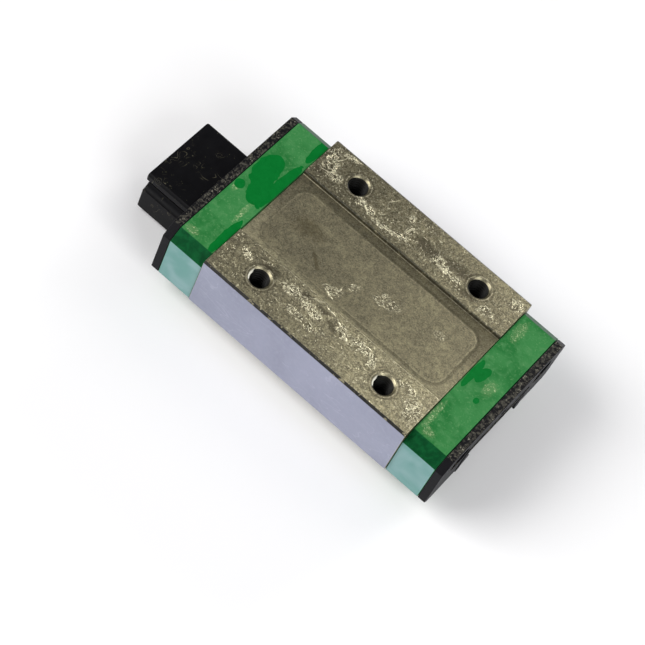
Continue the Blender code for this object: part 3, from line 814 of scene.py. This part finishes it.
def green_plastic():
    """Moulded green plastic, darker and glossier where oil wets it, with painted shade on the chamfers
    and a painted sheen on the sides.
    """
    graph = Graph("green_plastic")
    top_face = graph.ramp(graph.face_z, 0.85, 0.97)
    slope = graph.ramp(graph.face_z, 0.3, 0.5)
    chamfer = graph.times(slope, graph.minus(1.0, top_face))
    side_face = graph.ramp(graph.size(graph.face_y), 0.85, 0.97)

    ripple = graph.minus(graph.noise(560, 4.0, 0.6), 0.5)
    wet = graph.times(graph.near(REAR_WET + FRONT_WET, graph.times(ripple, 0.7), 0.06), top_face)
    mottle = graph.noise(1100, 4.0, 0.8)
    cloud = graph.noise(260, 2.0, 0.6)
    fine = graph.noise(3600, 3.0, 0.4)

    dry = graph.mix(graph.ramp(cloud, 0.35, 0.65), color(34, 104, 48), color(54, 120, 64))
    dry = graph.mix(graph.ramp(mottle, 0.45, 0.7, 0.0, 0.5), dry, color(76, 132, 80))
    dry = graph.mix(graph.ramp(fine, 0.55, 0.75, 0.0, 0.5), dry, color(98, 148, 94))
    film = graph.noise(900, 2.0, 1.4)
    place = graph.near(CAP_FILM, ripple, 0.6)
    crackle = graph.times(graph.folds(film, 8.0, 0.2), place, top_face)
    crackle = graph.times(crackle, graph.ramp(graph.noise(2600, 2.0), 0.45, 0.56))
    dry = graph.mix(graph.times(place, 0.25), dry, color(126, 152, 106))
    dry = graph.mix(graph.times(crackle, 0.6), dry, color(206, 218, 168))
    wet_color = graph.mix(mottle, color(0, 92, 30), color(10, 112, 44))
    base = graph.mix(wet, dry, wet_color)
    # The chamfers are painted darker: painted shade.
    shade = graph.mix(graph.ramp(mottle, 0.35, 0.65), color(0, 54, 24), color(4, 72, 34))
    base = graph.mix(graph.times(chamfer, 0.97), base, shade)

    # The sides are painted a pale bluish green: a painted sheen.
    sheen_haze = graph.mix(graph.ramp(cloud, 0.3, 0.7), color(108, 150, 148), color(132, 162, 166))
    outside = graph.ramp(graph.size(graph.y), CAP_HIGH.y - 0.3 * MM, CAP_HIGH.y - 0.1 * MM)
    base = graph.mix(graph.times(side_face, outside, 0.9), base, sheen_haze)

    rough = graph.plus(0.38, graph.times(fine, 0.14), graph.times(wet, -0.20))
    height = graph.plus(graph.times(fine, 0.4), graph.times(crackle, 1.2), graph.times(wet, 1.0))
    graph.bump(height, 0.012 * MM)
    graph.set(Base_Color=base, Roughness=rough, Specular_IOR_Level=0.2)
    graph.set(Specular_Tint=(0.3, 0.8, 0.5, 1.0))
    return graph.material


def black_plastic():
    """Black moulded plastic with fine scuffs and a few pale specks, its end faces painted lighter as a
    painted sheen.
    """
    graph = Graph("black_plastic")
    sparse = graph.ramp(graph.noise(420, 2.0), 0.55, 0.68)
    scuff = graph.times(graph.folds(graph.noise(430, 1.0, 0.8), 7.0, 0.045), sparse)
    dots = graph.times(graph.specks(2200, 0.13), graph.ramp(graph.noise(600), 0.48, 0.62))
    cloud = graph.noise(500, 4.0, 0.6)
    sheen_end_face = graph.ramp(graph.size(graph.face_x), 0.8, 0.95)
    base = graph.mix(cloud, color(3, 3, 5), color(12, 12, 15))
    # The end faces are painted lighter grey: a painted sheen.
    base = graph.mix(graph.times(sheen_end_face, 0.7), base, color(26, 26, 29))
    base = graph.mix(graph.times(scuff, 0.4), base, color(150, 145, 120))
    base = graph.mix(graph.times(dots, 0.5), base, color(120, 120, 90))
    rough = graph.plus(0.30, graph.times(cloud, 0.25))
    height = graph.plus(graph.times(graph.noise(5000, 2.0), 0.3), scuff)
    graph.bump(height, 0.006 * MM)
    graph.set(Base_Color=base, Roughness=rough, Specular_IOR_Level=0.12)
    return graph.material


def black_rubber():
    """Black rubber of the seals, grey in mottled patches on the top faces, with its end faces painted
    lighter as a painted sheen.
    """
    graph = Graph("black_rubber")
    top_face = graph.ramp(graph.face_z, 0.85, 0.97)
    mottle = graph.noise(2300, 4.0, 0.8)
    # The top faces are grey in mottled patches.
    top_grey = graph.times(graph.ramp(mottle, 0.46, 0.62), top_face)
    sheen_end_face = graph.ramp(graph.size(graph.face_x), 0.8, 0.95)
    base = graph.mix(mottle, color(4, 4, 6), color(18, 18, 22))
    # The end faces are painted lighter grey in a mottled band: a painted sheen.
    sheen_end_face = graph.times(sheen_end_face, graph.ramp(mottle, 0.3, 0.7, 0.4, 0.8))
    base = graph.mix(sheen_end_face, base, color(38, 38, 42))
    base = graph.mix(graph.times(top_grey, 0.8), base, color(76, 74, 66))
    dots = graph.times(graph.ramp(graph.noise(3400, 2.0, 0.6), 0.58, 0.68), top_face)
    dots = graph.times(dots, graph.ramp(graph.noise(900), 0.42, 0.6))
    base = graph.mix(graph.times(dots, 0.55), base, color(168, 164, 146))
    rough = graph.plus(0.42, graph.times(mottle, 0.2))
    height = graph.plus(graph.times(mottle, 1.0), graph.noise(6000, 2.0))
    graph.bump(height, 0.012 * MM)
    graph.set(Base_Color=base, Roughness=rough, Specular_IOR_Level=0.12)
    return graph.material


def natural_plastic():
    """Off-white moulded plastic of the return guides."""
    graph = Graph("natural_plastic")
    cloud = graph.noise(900, 3.0, 0.4)
    base = graph.mix(cloud, color(206, 203, 190), color(226, 224, 212))
    rough = graph.plus(0.38, graph.times(cloud, 0.15))
    graph.bump(graph.noise(5000, 2.0), 0.004 * MM)
    graph.set(Base_Color=base, Roughness=rough, Subsurface_Weight=0.1)
    return graph.material


def bright_steel(name, dark, light, roughness, scale):
    """Bright steel with fine variation, for balls, wires and screws."""
    graph = Graph(name)
    cloud = graph.noise(scale, 3.0, 0.4)
    base = graph.mix(cloud, dark, light)
    rough = graph.plus(roughness, graph.times(cloud, roughness))
    graph.bump(graph.noise(scale * 4, 2.0), 0.002 * MM)
    graph.set(Base_Color=base, Roughness=rough, Metallic=1.0)
    return graph.material


# ---------------------------------------------------------------- pieces


def make_block(material):
    """The steel block: fine section, real threads, countersinks, return and screw holes."""
    block = bar("steel_block", block_outline(), BLOCK_LOW.x, BLOCK_HIGH.x, 0.12 * MM)
    tools = []
    start = BLOCK_LOW.x - MM
    stop = BLOCK_HIGH.x + MM
    for side in SIDES.values():
        tools.append(cylinder("return_hole", CHANNEL_RADIUS, start, stop, side * RETURN_Y, ROW_Z, 48))
        for end in ENDS.values():
            place = Matrix.Translation((end * MOUNT_OFFSET, side * MOUNT_OFFSET, BLOCK_HIGH.z))
            thread = (MOUNT_CORE, MOUNT_THREAD, MOUNT_PITCH, -MOUNT_DEPTH, MM)
            tools.append(threaded("mount_thread", *thread, place, 48))
            sink = [
                (0.0, MM),
                (2.62 * MM, MM),
                (1.68 * MM, 0.06 * MM),
                (1.62 * MM, 0.0),
                (1.57 * MM, -0.05 * MM),
                (1.20 * MM, -0.40 * MM),
                (0.0, -0.40 * MM),
            ]
            tools.append(turned("mount_countersink", sink, 48, place))
            drill = [
                (0.0, -MOUNT_DEPTH + 0.2 * MM),
                (1.20 * MM, -MOUNT_DEPTH + 0.2 * MM),
                (1.20 * MM, -MOUNT_DEPTH - 0.03 * MM),
                (0.0, -MOUNT_DEPTH - 0.65 * MM),
            ]
            tools.append(turned("mount_drill", drill, 48, place))
            outer = end * (BLOCK_HIGH.x + MM)
            inner = end * (BLOCK_HIGH.x - 4 * MM)
            hole = (SCREW_BLOCK_HOLE, inner, outer, side * SCREW_Y, SCREW_Z)
            tools.append(cylinder("screw_hole", *hole, 32))
    combine(block, tools)
    finish(block, material, "ground_steel", "carriage", "carriage_block")


def pocket_profile():
    """Profile of the space in a cap for a return guide and its turning balls."""
    half_height = GUIDE_HALF_HEIGHT + 0.03 * MM
    rise = math.degrees(math.asin(half_height / CHANNEL_RADIUS))
    profile = [(0.0, half_height)]
    profile += arc((TURN_RADIUS, 0.0), CHANNEL_RADIUS, 180 - rise, rise - 180, 36)
    profile.append((0.0, -half_height))
    return profile


def wire_route(side):
    """Route of a retaining wire, from one cap to the other."""
    radius = (WIRE_HIGH.z - WIRE_LOW.z) / 2
    bend = 0.6 * MM
    end_x = WIRE_HIGH.x - radius
    near_y = WIRE_LOW.y + radius
    half = [(end_x, WIRE_HIGH.y)]
    half += arc((end_x - bend, near_y + bend), bend, 0, -90, 8)
    route = half + [(-along, across) for along, across in reversed(half)]
    return radius, [(along, side * across, ROW_Z) for along, across in route]


def make_tube(name, route, radius, resolution=4):
    """Sweep a round section along a route as a closed mesh."""
    curve = bpy.data.curves.new(name, "CURVE")
    curve.dimensions = "3D"
    curve.bevel_depth = radius
    curve.bevel_resolution = resolution
    curve.use_fill_caps = True
    spline = curve.splines.new("POLY")
    spline.points.add(len(route) - 1)
    for point, place in zip(spline.points, route):
        point.co = (*place, 1.0)
    source = bpy.data.objects.new(name, curve)
    bpy.context.scene.collection.objects.link(source)
    bpy.context.view_layer.update()
    evaluated = source.evaluated_get(bpy.context.evaluated_depsgraph_get())
    shape = bmesh.new()
    shape.from_mesh(bpy.data.meshes.new_from_object(evaluated))
    bmesh.ops.remove_doubles(shape, verts=shape.verts, dist=0.0002 * MM)
    bpy.data.objects.remove(source, do_unlink=True)
    return new_object(name, shape)


def make_cap(end_name, end, material):
    """An end cap with its ball turns, oil groove and holes."""
    inner, outer = reach_of(f"end_cap_{end_name}")
    start = inner - end * MM
    stop = outer + end * MM
    outline = end_outline(CHANNEL_HALF_WIDTH, CHANNEL_CEILING, 1.10 * MM)
    cap = bar(f"green_cap_{end_name}", outline, inner, outer, 0.10 * MM)
    tools = []
    for side in SIDES.values():
        place = Matrix.Translation((end * TURN_X, side * TURN_Y, ROW_Z))
        tools.append(turned("turn_pocket", pocket_profile(), 72, place))
        tools.append(cylinder("screw_hole", SCREW_CAP_HOLE, start, stop, side * SCREW_Y, SCREW_Z))
        radius, route = wire_route(side)
        tools.append(make_tube("wire_hole", route, radius + 0.08 * MM))
    tools.append(cylinder("oil_hole", OIL_HOLE_RADIUS, start, stop, 0.0, OIL_HOLE_Z))
    groove = [
        (7.35 * MM, OIL_HOLE_Z + 0.3 * MM),
        (7.35 * MM, 6.2 * MM),
        (6.75 * MM, 6.2 * MM),
        (6.75 * MM, OIL_HOLE_Z - 0.3 * MM),
    ]
    groove_ring = mirrored(groove)
    tools.append(skinned("oil_groove", [(start, groove_ring), (inner + end * 0.6 * MM, groove_ring)]))
    combine(cap, tools)
    finish(cap, material, "green_plastic", "carriage", f"end_cap_{end_name}")


def make_seal(end_name, end, material):
    """An end seal: a plate with a thin raised lip around the rail."""
    inner, outer = reach_of(f"end_seal_{end_name}")
    start = inner - end * MM
    stop = outer + end * MM
    face = outer - end * LIP_HEIGHT
    wall = RAIL_HIGH.y + 0.1 * MM
    ceiling = RAIL_HIGH.z + 0.1 * MM
    outline = end_outline(wall, ceiling, 1.17 * MM)
    seal = bar(f"black_seal_{end_name}", outline, inner, face, 0.08 * MM)
    combine(seal, [lip_strip(end, face, outer)], "UNION")
    tools = [cylinder("oil_hole", OIL_HOLE_RADIUS, start, stop, 0.0, OIL_HOLE_Z)]
    for side in SIDES.values():
        tools.append(cylinder("screw_hole", SCREW_HEAD_HOLE, start, stop, side * SCREW_Y, SCREW_Z, 48))
    combine(seal, tools)
    finish(seal, material, "seal_rubber", "carriage", f"end_seal_{end_name}")


def lip_strip(end, face, outer):
    """The raised lip that follows the rail's top and sides on a seal's outer face."""
    wall = RAIL_HIGH.y + LIP_CLEARANCE
    ceiling = RAIL_HIGH.z + LIP_CLEARANCE
    bottom = SEAL_LOW.z + 0.3 * MM
    half = [
        (wall - EDGE_BREAK + LIP_WIDTH, ceiling + LIP_WIDTH, 0.2 * MM),
        (wall + LIP_WIDTH, ceiling - EDGE_BREAK + LIP_WIDTH, 0.2 * MM),
        (wall + LIP_WIDTH, bottom),
        (wall, bottom),
    ]
    half += tongue(1.21 * MM, wall, 24)
    half += [
        (wall, ceiling - EDGE_BREAK, 0.12 * MM),
        (wall - EDGE_BREAK, ceiling, 0.12 * MM),
    ]
    outline = rounded(mirrored(half))
    rings = [
        (face - end * 0.3 * MM, outline),
        (face + end * 0.06 * MM, outline),
        (outer, inset(outline, 0.03 * MM)),
    ]
    return skinned("lip", rings)


def make_guides(end_name, end, material):
    """Two half-round return guides, flat against the block."""
    rise = math.degrees(math.asin(GUIDE_HALF_HEIGHT / RAIL_GROOVE_RADIUS))
    profile = [(0.0, GUIDE_HALF_HEIGHT)]
    profile += arc((TURN_RADIUS, 0.0), RAIL_GROOVE_RADIUS, 180 - rise, 180 + rise, 24)
    profile.append((0.0, -GUIDE_HALF_HEIGHT))
    for side_name, side in SIDES.items():
        node = f"return_guide_{end_name}_{side_name}"
        flat = reach_of(node)[0]
        place = Matrix.Translation((end * TURN_X, side * TURN_Y, ROW_Z))
        guide = turned(f"half_round_guide_{end_name}_{side_name}", profile, 72, place)
        shape = bmesh.new()
        shape.from_mesh(guide.data)
        cut = bmesh.ops.bisect_plane(
            shape,
            geom=shape.verts[:] + shape.edges[:] + shape.faces[:],
            plane_co=(flat, 0, 0),
            plane_no=(-end, 0, 0),
            clear_outer=True,
        )
        rim = [item for item in cut["geom_cut"] if isinstance(item, bmesh.types.BMEdge)]
        bmesh.ops.edgeloop_fill(shape, edges=rim)
        bmesh.ops.recalc_face_normals(shape, faces=shape.faces)
        shape.to_mesh(guide.data)
        shape.free()
        finish(guide, material, "guide_plastic", "carriage", node)


def make_screws(end_name, end, material):
    """Two pan head screws with a cross recess and a rolled thread."""
    for side_name, side in SIDES.items():
        node = f"end_screw_{end_name}_{side_name}"
        tip, top = reach_of(node)
        seat = top - end * SCREW_HEAD_HEIGHT
        place = Matrix.Translation((seat, side * SCREW_Y, SCREW_Z))
        place = place @ Matrix.Rotation(end * math.pi / 2, 4, "Y")
        head = [(0.0, SCREW_HEAD_HEIGHT)]
        head += [(1.0 * MM, 0.87 * MM), (1.35 * MM, 0.78 * MM), (1.6 * MM, 0.6 * MM)]
        head += [(1.7 * MM, 0.38 * MM), (1.7 * MM, 0.06 * MM), (1.64 * MM, 0.0)]
        head += [(0.84 * MM, 0.0), (0.84 * MM, -0.5 * MM), (0.0, -0.5 * MM)]
        screw = turned(f"cross_screw_{end_name}_{side_name}", head, 48, place)
        thread = (SCREW_CORE, SCREW_THREAD, SCREW_PITCH, -abs(tip - seat), -0.15 * MM)
        shank = threaded("shank", *thread, place, 32)
        combine(screw, [shank], "UNION")
        combine(screw, [cross_cutter(end, top, side)])
        finish(screw, material, "screw_steel", "carriage", node)


def cross_cutter(end, top, side):
    """The tapered cross recess of a screw head, turned a little off the axes."""
    long_half = 0.85 * MM
    short_half = 0.16 * MM
    quarter = [(short_half, long_half), (short_half, short_half), (long_half, short_half)]
    place = Vector((side * SCREW_Y, SCREW_Z))
    outline = []
    for turn in range(4):
        angle = math.radians(23 * side - 90 * turn)
        for corner in quarter:
            point = Vector(corner)
            point.rotate(Matrix.Rotation(angle, 2))
            outline.append(point)
    wide = [tuple(place + point * 1.1) for point in outline]
    narrow = [tuple(place + point * 0.45) for point in outline]
    return skinned("cross", [(top + end * 0.1 * MM, wide), (top - end * 0.6 * MM, narrow)])


def make_wires(material):
    """The two wires that keep the load rows in the block."""
    for side_name, side in SIDES.items():
        radius, route = wire_route(side)
        wire = make_tube(f"spring_wire_{side_name}", route, radius)
        finish(wire, material, "wire_steel", "carriage", f"retainer_wire_{side_name}")


def make_balls(material):
    """Every ball of both circuits."""
    for side_name in SIDES:
        for index in range(BALLS_PER_ROW):
            number = f"{index + 1:02d}"
            node = f"load_ball_{side_name}_{number}"
            place_ball(f"ball_load_{side_name}_{number}", node, f"load_row_{side_name}", material)
        for end_name in ENDS:
            for index in range(BALLS_PER_TURN):
                node = f"turn_ball_{end_name}_{side_name}_{index + 1}"
                name = f"ball_turn_{end_name}_{side_name}_{index + 1}"
                place_ball(name, node, f"turn_{end_name}_{side_name}", material)
        make_return_balls(side_name, material)


def add_ball(shape, centre):
    """Add a fine ball to a bmesh."""
    bmesh.ops.create_icosphere(
        shape, subdivisions=4, radius=BALL_RADIUS, matrix=Matrix.Translation(centre)
    )


def place_ball(name, node, body, material):
    """One ball in place of its CAD node."""
    low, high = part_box(node)
    shape = bmesh.new()
    add_ball(shape, (low + high) / 2)
    finish(new_object(name, shape), material, "ball_steel", body, node)


def make_return_balls(side_name, material):
    """The separate balls in one return hole."""
    node = f"return_row_{side_name}"
    shape = bmesh.new()
    for index in range(BALLS_PER_ROW):
        along = (2 * index + 1 - BALLS_PER_ROW) * PITCH / 2
        add_ball(shape, Vector((along, SIDES[side_name] * RETURN_Y, ROW_Z)))
    finish(new_object(f"balls_return_{side_name}", shape), material, "ball_steel", node, node)


def make_rail(material):
    """The black dummy rail."""
    rail = bar("black_rail", rail_outline(), RAIL_LOW.x, RAIL_HIGH.x, 0.22 * MM)
    finish(rail, material, "rail_plastic", "dummy_rail", "dummy_rail")


# ---------------------------------------------------------------- scene


def make_camera():
    """The camera, in the frame's metres."""
    data = bpy.data.cameras.new("camera")
    data.sensor_width = 36.0
    data.lens = 134.4
    data.clip_start = 0.01
    camera = bpy.data.objects.new("camera", data)
    bpy.context.scene.collection.objects.link(camera)
    forward = Vector((-0.1452, 0.5309, -0.8349)).normalized()
    right = Vector((0.7493, 0.6101, 0.2576))
    right = (right - forward * right.dot(forward)).normalized()
    above = right.cross(forward)
    turn = Matrix((right, above, -forward)).transposed().to_4x4()
    camera.matrix_world = Matrix.Translation((0.04173, -0.16400, 0.25677)) @ turn
    bpy.context.scene.camera = camera


def make_floor():
    """A plain pale floor."""
    shape = bmesh.new()
    bmesh.ops.create_grid(shape, x_segments=1, y_segments=1, size=2.0)
    floor = new_object("floor", shape)
    floor.location.z = -0.02 * MM
    graph = Graph("floor")
    base = graph.mix(graph.noise(6.0, 2.0), (0.86, 0.86, 0.87, 1.0), (0.88, 0.88, 0.885, 1.0))
    graph.set(Base_Color=base, Roughness=0.7)
    floor.data.materials.append(graph.material)


def add_light(name, place, size, power, tint):
    """A square area light that faces the object."""
    data = bpy.data.lights.new(name, "AREA")
    data.size = size
    data.energy = power
    data.color = tint
    light = bpy.data.objects.new(name, data)
    bpy.context.scene.collection.objects.link(light)
    light.location = place
    aim = Vector((0.0, 0.0, 0.005)) - Vector(place)
    light.rotation_euler = aim.to_track_quat("-Z", "Y").to_euler()


def make_studio():
    """Soft light: a pale surround and large lamps."""
    world = bpy.data.worlds.new("studio")
    bpy.context.scene.world = world
    world.use_nodes = True
    background = world.node_tree.nodes["Background"]
    background.inputs["Color"].default_value = (0.20, 0.20, 0.21, 1.0)
    background.inputs["Strength"].default_value = 1.0
    add_light("key", (-0.50, -0.38, 0.52), 0.50, 6.5, (1.0, 0.99, 0.98))
    add_light("fill", (0.55, -0.30, 0.45), 0.40, 3.0, (0.98, 0.99, 1.0))
    add_light("back", (0.10, 0.70, 0.20), 0.30, 2.0, (1.0, 1.0, 1.0))
    add_light("sheen", (0.06, 0.12, 0.17), 0.10, 0.06, (1.0, 0.97, 0.90))
    bpy.context.scene.view_settings.view_transform = "Standard"


def main():
    """Build every piece and the scene around them."""
    make_camera()
    make_floor()
    make_studio()
    make_block(ground_steel())
    green = green_plastic()
    rubber = black_rubber()
    guide_material = natural_plastic()
    screw_material = bright_steel("screw_steel", color(150, 150, 146), color(190, 190, 186), 0.22, 900)
    wire_material = bright_steel("wire_steel", color(160, 160, 158), color(200, 200, 198), 0.20, 1200)
    ball_material = bright_steel("ball_steel", color(205, 206, 208), color(228, 228, 230), 0.04, 700)
    for end_name, end in ENDS.items():
        make_cap(end_name, end, green)
        make_seal(end_name, end, rubber)
        make_guides(end_name, end, guide_material)
        make_screws(end_name, end, screw_material)
    make_wires(wire_material)
    make_balls(ball_material)
    make_rail(black_plastic())


main()
